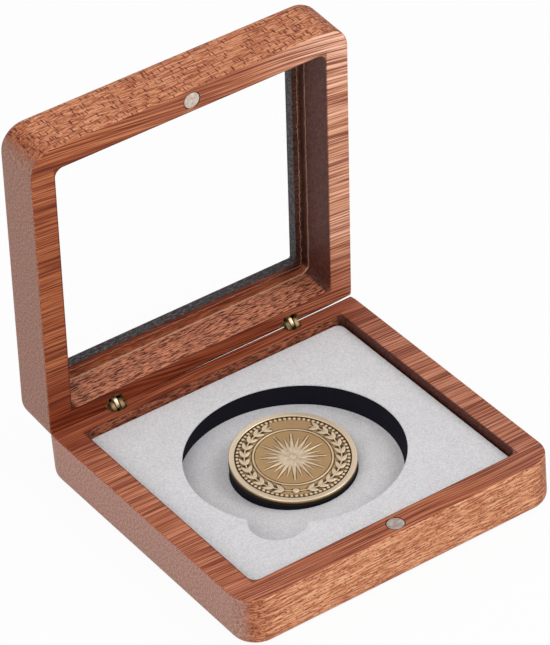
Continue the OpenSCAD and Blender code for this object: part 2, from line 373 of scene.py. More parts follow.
def wood(finish, hollow_y, hollow_half, tints, grit_share, pore_share, tick_share):
    """The tone of one half of the box. Shares say how much grit, how many pores and how many ticks
    its front and rear show."""
    off_hollow = off_opening(finish, hollow_y, hollow_half)
    outside = off_hollow.step(*OUTSIDE_FADE)
    upright = finish.face_y.step(*FACING_FADE)
    faces = face_tone(finish, outside, tints, grit_share)
    tone = finish.blend(upright, rim_tone(finish, off_hollow, tints), faces)
    pore = finish.pores.step(*PORE_FADE) * upright * outside
    tone = finish.blend(pore * pore_share, tone, srgb(98, 42, 24))
    tick = finish.ticks.step(*TICK_FADE) * upright * outside
    tone = finish.blend(tick * tick_share, tone, srgb(98, 40, 26))
    # painted shade: the rear by the hinge is darkened where the open lid and the base shade each other
    tone = finish.tint(finish.y.step(*REAR_FADE), tone, tints["rear"])
    relief = 1.0 - PORE_SINK * pore + LINE_RISE * finish.lines
    finish.feed(Normal=finish.bump(relief, GRAIN_STRENGTH, GRAIN_DEPTH))
    finish.feed(Roughness=WOOD_ROUGH - LINE_POLISH * finish.lines)
    return with_ends(finish, tone, outside, tints)


print("the rim's tones are centred on z", round(RIM_Z, 2), "mm")

# %% Wood on the base
TRAY_HOLLOW_Y, TRAY_HOLLOW_HALF = -1.2, (32.3, 31.1)
BASE_BOARD, BASE_SLANT = (40, 12, 3), 0.02
BASE_TINTS = {
    "left": (1.0, 1.02, 1.12),
    "right": (0.95, 1.05, 1.28),
    "front_rim": (0.9, 0.84, 0.84),
    "rear": (0.76, 0.61, 0.56),
    "front_face": (0.98, 0.94, 0.96),
    "inner_face": (0.6, 0.48, 0.42),
    "end": (1.0, 1.0, 1.0),
}
base_wood = WoodFinish("base_wood", (0, 0, 0), (0, 0, 0), BASE_BOARD, BASE_SLANT)
base_shares = {"grit_share": 0.6, "pore_share": 0.75, "tick_share": 0.0}
base_tone = wood(base_wood, TRAY_HOLLOW_Y, TRAY_HOLLOW_HALF, BASE_TINTS, **base_shares)
base_wood.feed(Base_Color=base_tone)
coat("base_tray", base_wood)
print("wood on base_tray")

# %% [markdown]
# ## The lid's wood
# The lid has a window. The cut edge of its lip is dark charcoal, and on the ledge behind the glass
# a thin wandering line of dried glue shows. Where the pane stands against the wall the wood has a painted
# reflection, a smooth darker band for the ledge mirrored in the pane, and a painted highlight runs as a
# pale line along the pane's front edge. All of these are found by how far a point is
# from the window, and by how high it is in the shut lid.

# %% Wood on the lid
LID_HOLLOW_Y, LID_HOLLOW_HALF = -1.3, np.array([32.5, 31.2])
LIP_W = 1.9
LID_BOARD, LID_SLANT = (130, 60, 21), -0.1
LID_TINTS = {
    # right: the lid's right rail is painted paler and greyer, partly its wood and partly painted sheen
    "left": (0.86, 0.74, 0.6),
    "right": (1.65, 2.5, 3.5),
    "front_rim": (1.06, 1.08, 1.12),
    "rear": (0.62, 0.42, 0.34),
    "front_face": (0.84, 0.7, 0.68),
    "inner_face": (1.18, 1.34, 1.5),
    "end": (0.78, 0.74, 0.7),
}
lid_wood = WoodFinish("lid_wood", (OPEN_ANGLE, 0, 0), tuple(LID_SHIFT), LID_BOARD, LID_SLANT)
lid_shares = {"grit_share": 0.4, "pore_share": 0.35, "tick_share": 0.95}
lid_tone = wood(lid_wood, LID_HOLLOW_Y, LID_HOLLOW_HALF, LID_TINTS, **lid_shares)
print("the lid's hollow is", 2 * LID_HOLLOW_HALF, "mm, its lip", LIP_W, "mm wide")

# %% The dark lip, painted shade on the ledge and a painted reflection by the pane
PANE_FRONT, LEDGE_Z = 20.1, 22.1
LEDGE_NEAR, LEDGE_FAR = 0.05, 0.15
RIGHT_LEDGE_SHADE_FADE = (22.0, 31.0)
HOLLOW_FADE = (LIP_W + 0.7, LIP_W + 0.4)
PANE_FADE = (PANE_FRONT - 0.1, PANE_FRONT + 0.1)
LIP_FADE, CHARCOAL_FADE = (0.2, 0.05), (0.4, 0.8)
off_window = off_opening(lid_wood, LID_HOLLOW_Y, LID_HOLLOW_HALF - LIP_W)
behind = lid_wood.z.step(LEDGE_Z - LEDGE_FAR, LEDGE_Z - LEDGE_NEAR)
ledge = behind * (1.0 - lid_wood.z.step(LEDGE_Z + LEDGE_NEAR, LEDGE_Z + LEDGE_FAR))
# painted shade: the ledge's right part is darkened where the right wall keeps the light off it
right_ledge_shade = lid_wood.x.step(*RIGHT_LEDGE_SHADE_FADE)
lid_tone = lid_wood.tint(ledge * right_ledge_shade, lid_tone, (0.16, 0.12, 0.11))
in_hollow = off_window.step(*HOLLOW_FADE)
painted_reflection_mask = lid_wood.z.step(*PANE_FADE) * in_hollow
upright = lid_wood.face_y.step(*FACING_FADE)
# painted reflection: the smooth darker tones stand for the ledge mirrored in the pane
smooth = lid_wood.fibres(lid_wood.lines, srgb(112, 48, 28), srgb(162, 82, 50), srgb(186, 108, 70))
lid_tone = lid_wood.blend(painted_reflection_mask * upright, lid_tone, smooth)
# the lip's cut edge is given a speckled dark charcoal tone
charcoal = lid_wood.blend(lid_wood.speckle.step(*CHARCOAL_FADE), srgb(34, 28, 30), srgb(112, 102, 103))
lid_tone = lid_wood.blend(behind * off_window.step(*LIP_FADE), lid_tone, charcoal)
print("charcoal lip above z", LEDGE_Z, "mm")

# %% Glue on the ledge, and a painted highlight along the pane
GLUE_AT, GLUE_SWAY, GLUE_FADE = 0.8, 0.9, (0.12, 0.05)
HIGHLIGHT_BELOW, HIGHLIGHT_SWAY, HIGHLIGHT_FADE = 0.5, 0.8, (0.26, 0.12)
REAR_HIGHLIGHT, SIDE_HIGHLIGHT, SIDE_FADE = 0.95, 0.5, (0.5, 0.9)
wander = lid_wood.noise(lid_wood.spot, (0.9, 0.9, 0.9), detail=2.0, rough=0.6)
glue_line = (off_window - GLUE_AT - GLUE_SWAY * wander).size().step(*GLUE_FADE)
lid_tone = lid_wood.blend(glue_line * ledge, lid_tone, srgb(170, 146, 132))
# painted highlight: a pale wandering line on the wall at the pane's front, for the light its front edge
# catches
pane_edge_highlight = (lid_wood.z - PANE_FRONT + HIGHLIGHT_BELOW - HIGHLIGHT_SWAY * wander).size().step(*HIGHLIGHT_FADE)
on_wall = REAR_HIGHLIGHT * upright + SIDE_HIGHLIGHT * lid_wood.face_x.step(*SIDE_FADE)
lid_tone = lid_wood.blend(pane_edge_highlight * in_hollow * on_wall, lid_tone, srgb(202, 166, 138))
lid_wood.feed(Base_Color=lid_tone)
coat("lid_frame", lid_wood)
print("wood on lid_frame, its glue up to", GLUE_AT + GLUE_SWAY, "mm from the window's edge")

# %% [markdown]
# ## Brass
# The hinges are drawn brass gone dull brown. Barrels and pins keep their CAD shape, since they are
# plain turned rods, and the finish carries the tarnish, browner in some clouds than in others.

# %% Brass on the barrels and pins
SIDES = ("left", "right")
TURNED_PIECES = ("base_barrel", "lid_barrel", "base_pin", "lid_pin", "centre_pin")
CLOUD_FADE = (0.3, 0.7)


def brass(name, dark, pale, rough):
    """Metal whose tarnish is a soft cloudy noise, with fine scratches in its roughness."""
    finish = Finish(name, Metallic=0.75)
    place = finish.place()
    cloud = finish.noise(place, (0.9, 0.9, 0.9), detail=3.0, rough=0.6)
    scratch = finish.noise(place, (9.0, 2.0, 2.0), detail=2.0, rough=0.6)
    finish.feed(Base_Color=finish.blend(cloud.step(*CLOUD_FADE), dark, pale))
    finish.feed(Roughness=rough + 0.2 * scratch)
    return finish


hinge_brass = brass("hinge_brass", srgb(104, 78, 42), srgb(178, 146, 92), 0.2)
for side in SIDES:
    for turned in TURNED_PIECES:
        coat(f"{side}_{turned}", hinge_brass)
print("brass on", len(SIDES) * len(TURNED_PIECES), "hinge pieces")

# %% [markdown]
# ## Turning arrays into pieces
# Every new piece is a grid of points worked out by a formula. One helper makes the quads that
# join neighbours on the grid, and another puts the arrays into a mesh.

# %% Mesh helpers
WELD = 1e-7
SHARP = math.radians(40)


def quads(rows, columns, close_rows=False, close_columns=False):
    """The four corners of each cell of a grid, wrapped round where a direction closes on itself."""
    row = np.arange(rows if close_rows else rows - 1)[:, None]
    column = np.arange(columns if close_columns else columns - 1)[None, :]
    next_row, next_column = (row + 1) % rows, (column + 1) % columns
    corners = (row * columns + column, row * columns + next_column,
               next_row * columns + next_column, next_row * columns + column)
    return np.stack(np.broadcast_arrays(*corners), axis=-1).reshape(-1, 4)


def piece(name, points, faces, body, finishes, sharp=SHARP, marks=None, slots=None):
    """Puts points and faces into a mesh, welds what coincides, and rides it on a body. Marks are
    numbers kept on the points for the finish, and slots say which finish each face takes."""
    mesh = bpy.data.meshes.new(name)
    mesh.from_pydata(np.asarray(points).reshape(-1, 3), [], faces)
    for mark, values in (marks or {}).items():
        kept = mesh.attributes.new(mark, "FLOAT", "POINT")
        kept.data.foreach_set("value", np.ravel(values).astype(np.float32))
    for finish in finishes:
        mesh.materials.append(finish.material)
    if slots is not None:
        mesh.polygons.foreach_set("material_index", slots)
    shape = bmesh.new()
    shape.from_mesh(mesh)
    bmesh.ops.remove_doubles(shape, verts=shape.verts, dist=WELD)
    bmesh.ops.recalc_face_normals(shape, faces=shape.faces)
    shape.to_mesh(mesh)
    shape.free()
    mesh.shade_smooth()
    mesh.set_sharp_from_angle(angle=sharp)
    made = bpy.data.objects.new(name, mesh)
    bpy.context.scene.collection.objects.link(made)
    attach(made, body)
    print(name, len(mesh.vertices), "points", len(mesh.polygons), "faces")
    return made


# %% [markdown]
# ## The insert
# Two sheets of black foam lie in the tray, each faced with pale grey flannel. The upper one is cut
# through with a round recess and a finger notch. Seen from the recess's centre each outline is a
# distance that depends on the angle alone, so a sheet is a ring of angles times a ring of profile.

# %% Outlines of the insert
RECESS_R = 23.05
NOTCH_R = 6.2
NOTCH_FROM = RECESS_R - 1.0
NOTCH_ANGLE = math.radians(227)
RECESS_AT = np.array([-1.1, -1.2])
INSERT_CORNER = 1.8
CUT_LEAN = 1.2
SHEET_ROWS = 40
ROLL_STEPS = 5
ANGLE_STEPS = 1440
ANGLES = (np.arange(ANGLE_STEPS) + 0.5) * 2 * np.pi / ANGLE_STEPS
insert_low, insert_high = (np.array(corner)[:2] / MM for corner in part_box("upper_flannel"))
rest_low, rest_high = (np.array(corner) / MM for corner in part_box("coin_rest"))
COIN_AT = (rest_low[:2] + rest_high[:2]) / 2
REST_R = (rest_high[0] - rest_low[0]) / 2
COIN_LEAN = math.radians(7)
REST_Z = rest_high[2] - REST_R * math.tan(COIN_LEAN)
print("insert", np.round(insert_high - insert_low, 1), "mm, coin's rest", round(2 * REST_R, 1), "mm across")


def rounded_square(centre, low, high, corner, angles):
    """How far the edge of a rounded rectangle is from a centre inside it, at each angle: the nearer
    of the sides that the ray meets, or in a corner the far crossing of the ray with its arc."""
    ray = np.stack([np.cos(angles), np.sin(angles)], axis=-1)
    distance = (np.where(ray > 0, high - centre, low - centre) / ray).min(axis=-1)
    hit = centre + ray * distance[:, None]
    middle, half = (low + high) / 2, (high - low) / 2
    arc_at = np.where(hit > middle, high - corner, low + corner) - centre
    along = (ray * arc_at).sum(axis=-1)
    aside = arc_at[:, 0] * ray[:, 1] - arc_at[:, 1] * ray[:, 0]
    arc = along + np.sqrt(np.maximum(corner**2 - aside**2, 0))
    return np.where(np.all(np.abs(hit - middle) > half - corner, axis=-1), arc, distance)


def notched_circle(angles):
    """The recess's edge: its own radius, or the far side of the notch's circle where that is further."""
    off = angles - NOTCH_ANGLE
    under_root = NOTCH_R**2 - (NOTCH_FROM * np.sin(off)) ** 2
    far = NOTCH_FROM * np.cos(off) + np.sqrt(np.maximum(under_root, 0))
    return np.where((under_root > 0) & (np.cos(off) > 0), np.maximum(far, RECESS_R), RECESS_R)


def sheet_points(centre, inner, outer, low_z, high_z, roll, lean):
    """A sheet round a hole: at each angle a profile goes out along the underside, rolls round the
    outer edge, comes back over the top and rolls down into the hole. The hole's cut may lean to the
    left, so that its lower edge lies further left than its upper one."""
    turn = np.linspace(0, np.pi / 2, ROLL_STEPS)[:, None]
    steps = np.linspace(0, 1, SHEET_ROWS)[:, None]
    low_inner = inner - lean * np.cos(ANGLES)
    under = low_inner + steps[:: SHEET_ROWS - 1] * (outer - low_inner)
    outer_roll = outer - roll * (1 - np.cos(turn))
    top = outer - roll - steps[1:-1] * (outer - inner - 2 * roll)
    inner_roll = inner + roll * (1 - np.sin(turn))
    radius = np.concatenate([under, outer_roll, top, inner_roll])
    rise = np.concatenate([np.sin(turn), np.ones_like(steps[1:-1]), np.cos(turn)])
    height = np.concatenate([np.full((2, 1), low_z), high_z - roll * (1 - rise)])
    x = centre[0] + radius * np.cos(ANGLES)
    y = centre[1] + radius * np.sin(ANGLES)
    return np.stack([x, y, np.broadcast_to(height, x.shape)], axis=-1) * MM


# %% The insert's finishes
NAP_DEPTH, CELL_DEPTH = 0.15 * MM, 0.1 * MM
NAP_FADE, NAP_SHARE, CLOUD_SHARE = (0.25, 0.75), 0.7, 0.3
flannel = Finish("flannel", Roughness=0.95, Sheen_Weight=0.25, Sheen_Roughness=0.6)
nap_place = flannel.place()
nap = flannel.noise(nap_place, (2.6, 2.6, 2.6), detail=3.0, rough=0.7)
cloud = flannel.noise(nap_place, (0.25, 0.25, 0.25), detail=2.0, rough=0.5)
tufts = nap.step(*NAP_FADE) * NAP_SHARE + cloud * CLOUD_SHARE
flannel.feed(Base_Color=flannel.blend(tufts, srgb(188, 187, 190), srgb(232, 231, 233)))
flannel.feed(Normal=flannel.bump(nap, 0.6, NAP_DEPTH))

black_foam = Finish("black_foam", Roughness=0.9, Specular_IOR_Level=0.1)
cells = black_foam.noise(black_foam.place(), (6.0, 6.0, 6.0), detail=2.0, rough=0.6)
black_foam.feed(Base_Color=black_foam.blend(cells, srgb(9, 9, 15), srgb(30, 30, 40)))
black_foam.feed(Normal=black_foam.bump(cells, 0.4, CELL_DEPTH))
print("finishes for the insert:", flannel.material.name, black_foam.material.name)

# %% Lay the insert
FLANNEL_ROLL, FOAM_ROLL = 0.15, 0.02
FOAM_INSET = 0.05
RECESS_STEP = 0.1
REST_GAP = 0.1
lower_outline = rounded_square(COIN_AT, insert_low, insert_high, INSERT_CORNER, ANGLES)
upper_outline = rounded_square(RECESS_AT, insert_low, insert_high, INSERT_CORNER, ANGLES)
foam_lower, foam_upper = lower_outline - FOAM_INSET, upper_outline - FOAM_INSET
recess = notched_circle(ANGLES)
rest_hole = np.full_like(ANGLES, REST_R + REST_GAP)
no_hole = np.zeros_like(ANGLES)
SHEETS = {
    "upper_flannel": (RECESS_AT, recess, upper_outline, FLANNEL_ROLL, 0.0, flannel),
    "upper_foam": (RECESS_AT, recess + RECESS_STEP, foam_upper, FOAM_ROLL, CUT_LEAN, black_foam),
    "lower_flannel": (COIN_AT, rest_hole, lower_outline, FLANNEL_ROLL, 0.0, flannel),
    "lower_foam": (COIN_AT, no_hole, foam_lower, FOAM_ROLL, 0.0, black_foam),
}
for node, (centre, inner, outer, roll, lean, finish) in SHEETS.items():
    low_z, high_z = (corner[2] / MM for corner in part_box(node))
    points = sheet_points(centre, inner, outer, low_z, high_z, roll, lean)
    has_hole = inner.min() > 0
    if not has_hole:
        points = points[:-ROLL_STEPS]
    faces = quads(points.shape[0], points.shape[1], has_hole, True)
    piece(node + "_sheet", points, faces, "insert", [finish])
    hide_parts(node)


def ring_area(inner, outer):
    """The area between two outlines, half the sum of squared distances times the angle step."""
    return float(0.5 * np.sum(outer**2 - inner**2) * (ANGLES[1] - ANGLES[0]) * MM**2)


for node, under in (("upper_flannel", "upper_foam"), ("lower_flannel", "lower_foam")):
    inner, outer = SHEETS[node][1:3]
    ring_area(inner, outer)

# %% [markdown]
# ## The coin's rest
# A round wedge of the same foam stands in a hole of the lower flannel and leans the coin to the
# front. It is a cylinder whose top is the plane that rises towards the rear.

# %% The coin's rest
REST_EDGE = 0.05
FOOT_RINGS = 2
wedge_reach = np.array([0, REST_R, REST_R, REST_R - REST_EDGE, 0])[:, None]
wedge_sunk = np.array([0, 0, REST_EDGE, 0, 0])[:, None]
wedge_x = wedge_reach * np.cos(ANGLES)
wedge_y = wedge_reach * np.sin(ANGLES)
wedge_top = REST_Z + wedge_y * math.tan(COIN_LEAN) - wedge_sunk
ring = np.arange(len(wedge_reach))[:, None]
wedge_z = np.where(ring < FOOT_RINGS, rest_low[2], wedge_top)
wedge_points = np.stack([COIN_AT[0] + wedge_x, COIN_AT[1] + wedge_y, wedge_z], axis=-1) * MM
wedge_faces = quads(len(wedge_reach), ANGLE_STEPS, False, True)
wedge = piece("coin_rest_wedge", wedge_points, wedge_faces, "insert", [black_foam])
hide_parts("coin_rest")

# %% [markdown]
# ## The window
# The window is a clear pane with its front edge ground a little, so that the edge is pale. Its index
# is lower than that of glass, because a strong one shows the pane's edges as broad pale bands. It is
# made for the closed box and turned open with the lid: rings of its outline go out over the front
# face, round the edges and back over the rear face.

# %% The window pane
PANE_GAP = 0.1
PANE_CORNER = 3.0
PANE_SHARP = math.radians(20)
GROUND = 0.16


def open_lid(points):
    """Turns points of the closed lid, in millimetres, to where the open lid has them, in metres."""
    turn = np.array(LID_TURN.transposed())
    return (points - np.array(LID_SHIFT)) @ turn.T * MM


clear = Finish("clear_pane", Base_Color=(1, 1, 1, 1), Roughness=0.0, IOR=1.06, Transmission_Weight=1.0)
ground = Finish("ground_edge", Roughness=0.6)
grit = ground.noise(ground.place(), (3.0, 3.0, 3.0), detail=2.0, rough=0.6)
ground.feed(Base_Color=ground.blend(grit, srgb(124, 108, 104), srgb(178, 162, 158)))

pane_middle = np.array([0.0, LID_HOLLOW_Y])
pane_half = LID_HOLLOW_HALF - PANE_GAP
pane_low, pane_high = pane_middle - pane_half, pane_middle + pane_half
pane_outline = rounded_square(pane_middle, pane_low, pane_high, PANE_CORNER, ANGLES)
pane_rings = np.array([
    [0, PANE_FRONT],
    [1, PANE_FRONT],
    [2, PANE_FRONT + GROUND],
    [2, LEDGE_Z],
    [0, LEDGE_Z],
])
ring_radius = np.stack([np.zeros_like(pane_outline), pane_outline - GROUND, pane_outline])
pane_radius = ring_radius[pane_rings[:, 0].astype(int)]
pane_points = np.stack([
    pane_middle[0] + pane_radius * np.cos(ANGLES),
    pane_middle[1] + pane_radius * np.sin(ANGLES),
    np.broadcast_to(pane_rings[:, 1:], pane_radius.shape),
], axis=-1)
pane_faces = quads(len(pane_rings), ANGLE_STEPS, False, True)
pane_slots = np.repeat([0, 1, 0, 0], ANGLE_STEPS)
pane_at = open_lid(pane_points)
pane = piece("clear_window", pane_at, pane_faces, "lid", [clear, ground], PANE_SHARP, slots=pane_slots)
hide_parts("window_pane")

# %% [markdown]
# ## The hinge leaves
# Each hinge is a pack of three flat leaves that fold in a slot, two from the base and one from the
# lid. A leaf's outline is a stadium round its two pivots, cut back to a small eye where the other
# leaf's pin passes. The real ones are tumbled, so the outline shrinks towards both faces along a
# quarter circle, which rounds every edge.

# %% Hinge leaves
BASE_PIVOT = pivots["left_base_leaf_turn"][1:]
LID_PIVOT = pivots["left_lid_leaf_turn"][1:]
CENTRE_PIVOT = BASE_PIVOT + LID_PIVOT - pivots["lid_hinge"][1:]
LEAF_R = 1.0
LEAF_EDGE = 0.16
LEAF_SINK = 0.04
LEAF_STEPS = 96
LEAST_SINE = 1e-6
EYE_R = 0.48
EYE_FROM = math.radians(72)
EYE_TO = math.radians(204)
dull_leaf = brass("dull_leaf", srgb(100, 76, 52), srgb(166, 136, 100), 0.42)
# painted highlight: the lid's leaf is a paler copy of the dull brass, for the bright band it catches
painted_highlight_leaf = brass("painted_highlight_leaf", srgb(176, 148, 108), srgb(240, 222, 188), 0.28)


def leaf_points(low_x, high_x, start, end, other):
    """Rings round the eye. At each angle the stadium's reach is that of the circle round the eye, the
    straight side or the circle round the other pivot, whichever is met; it is the eye's own radius in
    the wedge that the other pin sweeps. From face to face the rings grow along a quarter circle, stay,
    and shrink again."""
    run = start - end
    length = math.hypot(*run)
    turn = (np.arange(LEAF_STEPS) + 0.5) * 2 * np.pi / LEAF_STEPS
    along = length * np.cos(turn)
    across = length * np.abs(np.sin(turn))
    side = LEAF_R / np.maximum(np.abs(np.sin(turn)), LEAST_SINE)
    far = along + np.sqrt(np.maximum(LEAF_R ** 2 - across ** 2, 0))
    reach = np.where(along < 0, LEAF_R, np.where(side * np.cos(turn) < length, side, far))
    swept = (turn * other) % (2 * np.pi)
    reach = np.where((swept > EYE_FROM) & (swept < EYE_TO), EYE_R, reach)
    way = turn + math.atan2(run[1], run[0])
    out = np.stack([np.cos(way), np.sin(way)], axis=-1)
    arc = np.linspace(0, np.pi / 2, ROLL_STEPS)
    inset = np.concatenate([LEAF_EDGE * (1 - np.sin(arc)), LEAF_EDGE * (1 - np.cos(arc))])
    sunk = LEAF_EDGE * (1 - np.cos(arc))
    x = np.concatenate([[low_x], low_x + sunk, high_x - sunk[::-1], [high_x]])
    grown = np.concatenate([np.zeros((1, LEAF_STEPS)), reach - inset[:, None], np.zeros((1, LEAF_STEPS))])
    ring = end + out * grown[:, :, None]
    return np.concatenate([np.broadcast_to(x[:, None, None], (*ring.shape[:2], 1)), ring], axis=-1) * MM


LEAVES = {
    "base_leaf_outer": (BASE_PIVOT, 1, "base_leaf", dull_leaf),
    "base_leaf_inner": (BASE_PIVOT, 1, "base_leaf", dull_leaf),
    "lid_leaf": (LID_PIVOT, -1, "lid_leaf", painted_highlight_leaf),
}
for side in SIDES:
    for leaf, (pivot, other, body, finish) in LEAVES.items():
        low, high = (np.array(corner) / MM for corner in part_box(f"{side}_{leaf}"))
        points = leaf_points(low[0] + LEAF_SINK, high[0] - LEAF_SINK, pivot, CENTRE_PIVOT, other)
        faces = quads(points.shape[0], points.shape[1], False, True)
        folded = piece(f"{side}_{leaf}_plate", points, faces, f"{side}_{body}", [finish])
        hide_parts(f"{side}_{leaf}")

# %% [markdown]
# ## The magnets
# A nickel-plated disc is let into each rim. Its turned edge is rounded and catches no light, so it
# is given painted shade and reads as a dark ring. A profile of radius and depth is spun round the disc's
# axis.

# %% Magnets
MAGNET_R = 1.98
MAGNET_L = 3.0
MAGNET_EDGE = 0.22
MAGNET_AT = np.array([0.0, -35.15])
MAGNET_FLAT = 0.9
MAGNET_STEPS = 96
BASE_MAGNET_TOP, LID_MAGNET_TOP = 11.74, 11.96


def nickel(name, dark, pale):
    """Dull nickel plate, blotched, with painted shade along the turned edge."""
    finish = Finish(name, Metallic=0.75)
    blotch = finish.noise(finish.place(), (1.4, 1.4, 1.4), detail=3.0, rough=0.6)
    # painted shade: the points of the rounded edge are marked and darkened
    painted_edge_shade = finish.add("Attribute", {"attribute_name": "edge"}, output="Fac")
    tone = finish.blend(blotch.step(*CLOUD_FADE), dark, pale)
    finish.feed(Base_Color=finish.blend(painted_edge_shade, tone, srgb(70, 58, 52)), Roughness=0.3 + 0.25 * blotch)
    return finish


def spun(profile, centre, turn_steps):
    """A profile of radius and height, spun in equal steps round an upright axis."""
    turn = np.arange(turn_steps) * 2 * np.pi / turn_steps
    radius = profile[:, :1]
    x = centre[0] + radius * np.cos(turn)
    y = centre[1] + radius * np.sin(turn)
    return np.stack([x, y, np.broadcast_to(profile[:, 1:], x.shape)], axis=-1)


arc = np.linspace(0, np.pi / 2, ROLL_STEPS)
edge_radius = MAGNET_R - MAGNET_EDGE * (1 - np.sin(arc))
edge_drop = -MAGNET_EDGE * (1 - np.cos(arc))
magnet_top = np.array([[0, 0], [MAGNET_FLAT, 0]])
magnet_round = np.stack([edge_radius, edge_drop], axis=-1)
magnet_foot = np.array([[MAGNET_R, -MAGNET_L], [0, -MAGNET_L]])
magnet_profile = np.concatenate([magnet_top, magnet_round, magnet_foot])
clean_points = len(magnet_top) + 1
magnet_mark = (np.arange(len(magnet_profile)) >= clean_points).astype(float)
magnet_marks = {"edge": np.repeat(magnet_mark, MAGNET_STEPS)}
magnet_faces = quads(len(magnet_profile), MAGNET_STEPS, False, True)
base_disc = spun(magnet_profile + [0, BASE_MAGNET_TOP], MAGNET_AT, MAGNET_STEPS) * MM
lid_disc = open_lid(spun(magnet_profile * [1, -1] + [0, LID_MAGNET_TOP], MAGNET_AT, MAGNET_STEPS))
# painted light: both discs are the same nickel, the base's painted darker and the lid's lighter for the
# light each catches
shaded_base_nickel = nickel("shaded_base_nickel", srgb(160, 146, 138), srgb(198, 184, 176))
lit_lid_nickel = nickel("lit_lid_nickel", srgb(194, 178, 164), srgb(232, 218, 204))
for body, points, finish in (("base", base_disc, shaded_base_nickel), ("lid", lid_disc, lit_lid_nickel)):
    disc = piece(f"{body}_magnet_disc", points, magnet_faces, body, [finish], marks=magnet_marks)
    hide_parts(f"{body}_magnet")

# %% [markdown]
# ## The coin
# A struck coin is a disc whose two faces are height fields. Radius and angle suit it, because the
# rim, the beads and the ring line all follow circles. The design is a plain one: a wreath of two
# branches round a rosette with rays. Heights add up from simple ridges, and the same heights say
# where a worn coin is bright and where it keeps its brown.

# %% Relief of the coin
RISE = {"rim": 0.2, "beads": 0.12, "stem": 0.09, "tie": 0.16, "leaves": 0.15, "ring": 0.11,
        "long_rays": 0.12, "short_rays": 0.1, "petals": 0.17, "boss": 0.2}
RIM_FROM, RIM_TO = 11.98, 12.16
BEADS, BEAD_AT, BEAD_R = 72, 11.45, 0.34
WREATH_AT, STEM_HALF, TIE_R = 9.95, 0.15, 0.7
BRANCH_ROOT = np.radians([12.0, 15.0])
BRANCH_TIP = np.radians([158.0, 154.0])
WREATH_PITCH = np.radians(13.0)
WREATH_TILT = np.radians(30.0)
WREATH_SPREAD = 0.5
BLADE_HALF, BLADE_LONG, BLADE_THIN = 0.46, 1.2, 1e-3
MIDRIB_DEPTH, MIDRIB_W = 0.35, 0.07
RING_AT, RING_HALF = 8.2, 0.17
RAYS, RAY_THIN, RAY_STOP, RAY_FADE = 12, 0.02, 0.1, 0.2
LONG_RAY_END, LONG_RAY_RUN, LONG_RAY_HALF = 7.5, 4.5, 0.42
SHORT_RAY_END, SHORT_RAY_RUN, SHORT_RAY_HALF = 6.1, 3.1, 0.36
PETALS, PETAL_AT, PETAL_LONG, PETAL_HALF = 8, 2.0, 1.2, 0.72
BOSS_R = 0.8


def ridge(off, half_width):
    """Height of a half round: 1 on its line and 0 from half its width on."""
    return np.sqrt(np.clip(1 - (off / half_width) ** 2, 0, 1))


def ramp(value, low, high):
    """0 below low and 1 above high, with a smooth slope between."""
    share = np.clip((value - low) / (high - low), 0, 1)
    return share * share * (3 - 2 * share)


def repeated(angle, count, radius):
    """How far a point is along the circle from the nearest of equally spaced places."""
    step = 2 * np.pi / count
    return ((angle / step + 0.5) % 1 - 0.5) * step * radius


def up_branch(angle):
    """How far a point is up its branch of the wreath, as an angle from the tie at the foot."""
    return np.abs((angle - np.pi / 2) % (2 * np.pi) - np.pi)


def leaves(radius, angle, lift, tilt):
    """One row of a branch: lens-shaped leaves, each turned from the branch by a tilt, with a midrib."""
    up = up_branch(angle)
    along = ((up / WREATH_PITCH) % 1 - 0.5) * WREATH_PITCH * WREATH_AT
    out = radius - WREATH_AT - lift
    run = along * np.cos(tilt) + out * np.sin(tilt)
    aside = out * np.cos(tilt) - along * np.sin(tilt)
    width = np.maximum(BLADE_HALF * (1 - (run / BLADE_LONG) ** 2), BLADE_THIN)
    grown = ramp(up, *BRANCH_ROOT) * ramp(-up, *-BRANCH_TIP)
    blade = ridge(aside, width) - MIDRIB_DEPTH * np.exp(-((aside / MIDRIB_W) ** 2))
    return RISE["leaves"] * grown * blade * (np.abs(run) < BLADE_LONG)


def rays(radius, angle, end, run, half):
    """Rays that narrow evenly to their ends and sink away just before them."""
    taper = np.clip((end - radius) / run, RAY_THIN, 1)
    spread = ridge(repeated(angle, RAYS, radius), half * taper)
    return spread * ramp(-radius, RAY_STOP - end, RAY_STOP - end + RAY_FADE)


def coin_relief(radius, angle):
    """Millimetres above the field: the highest of the rim, beads, wreath, ring line, rays and rosette."""
    up = up_branch(angle)
    between = angle + np.pi / RAYS
    bead_off = np.hypot(radius - BEAD_AT, repeated(angle, BEADS, BEAD_AT))
    tie_off = np.hypot(radius - WREATH_AT, up * WREATH_AT)
    petal_off = np.hypot((radius - PETAL_AT) / PETAL_LONG, repeated(angle, PETALS, radius) / PETAL_HALF)
    shapes = [
        RISE["rim"] * ramp(radius, RIM_FROM, RIM_TO),
        RISE["beads"] * ridge(bead_off, BEAD_R),
        RISE["stem"] * ridge(radius - WREATH_AT, STEM_HALF) * ramp(-up, *-BRANCH_TIP),
        RISE["tie"] * ridge(tie_off, TIE_R),
        leaves(radius, angle, WREATH_SPREAD, WREATH_TILT),
        leaves(radius, angle, -WREATH_SPREAD, -WREATH_TILT),
        RISE["ring"] * ridge(radius - RING_AT, RING_HALF),
        RISE["long_rays"] * rays(radius, angle, LONG_RAY_END, LONG_RAY_RUN, LONG_RAY_HALF),
        RISE["short_rays"] * rays(radius, between, SHORT_RAY_END, SHORT_RAY_RUN, SHORT_RAY_HALF),
        RISE["petals"] * ridge(petal_off, 1.0),
        RISE["boss"] * ridge(radius, BOSS_R),
    ]
    return np.max(np.stack(np.broadcast_arrays(*shapes)), axis=0)


print("the coin's relief has", len(RISE), "kinds of shape, up to", max(RISE.values()), "mm high")

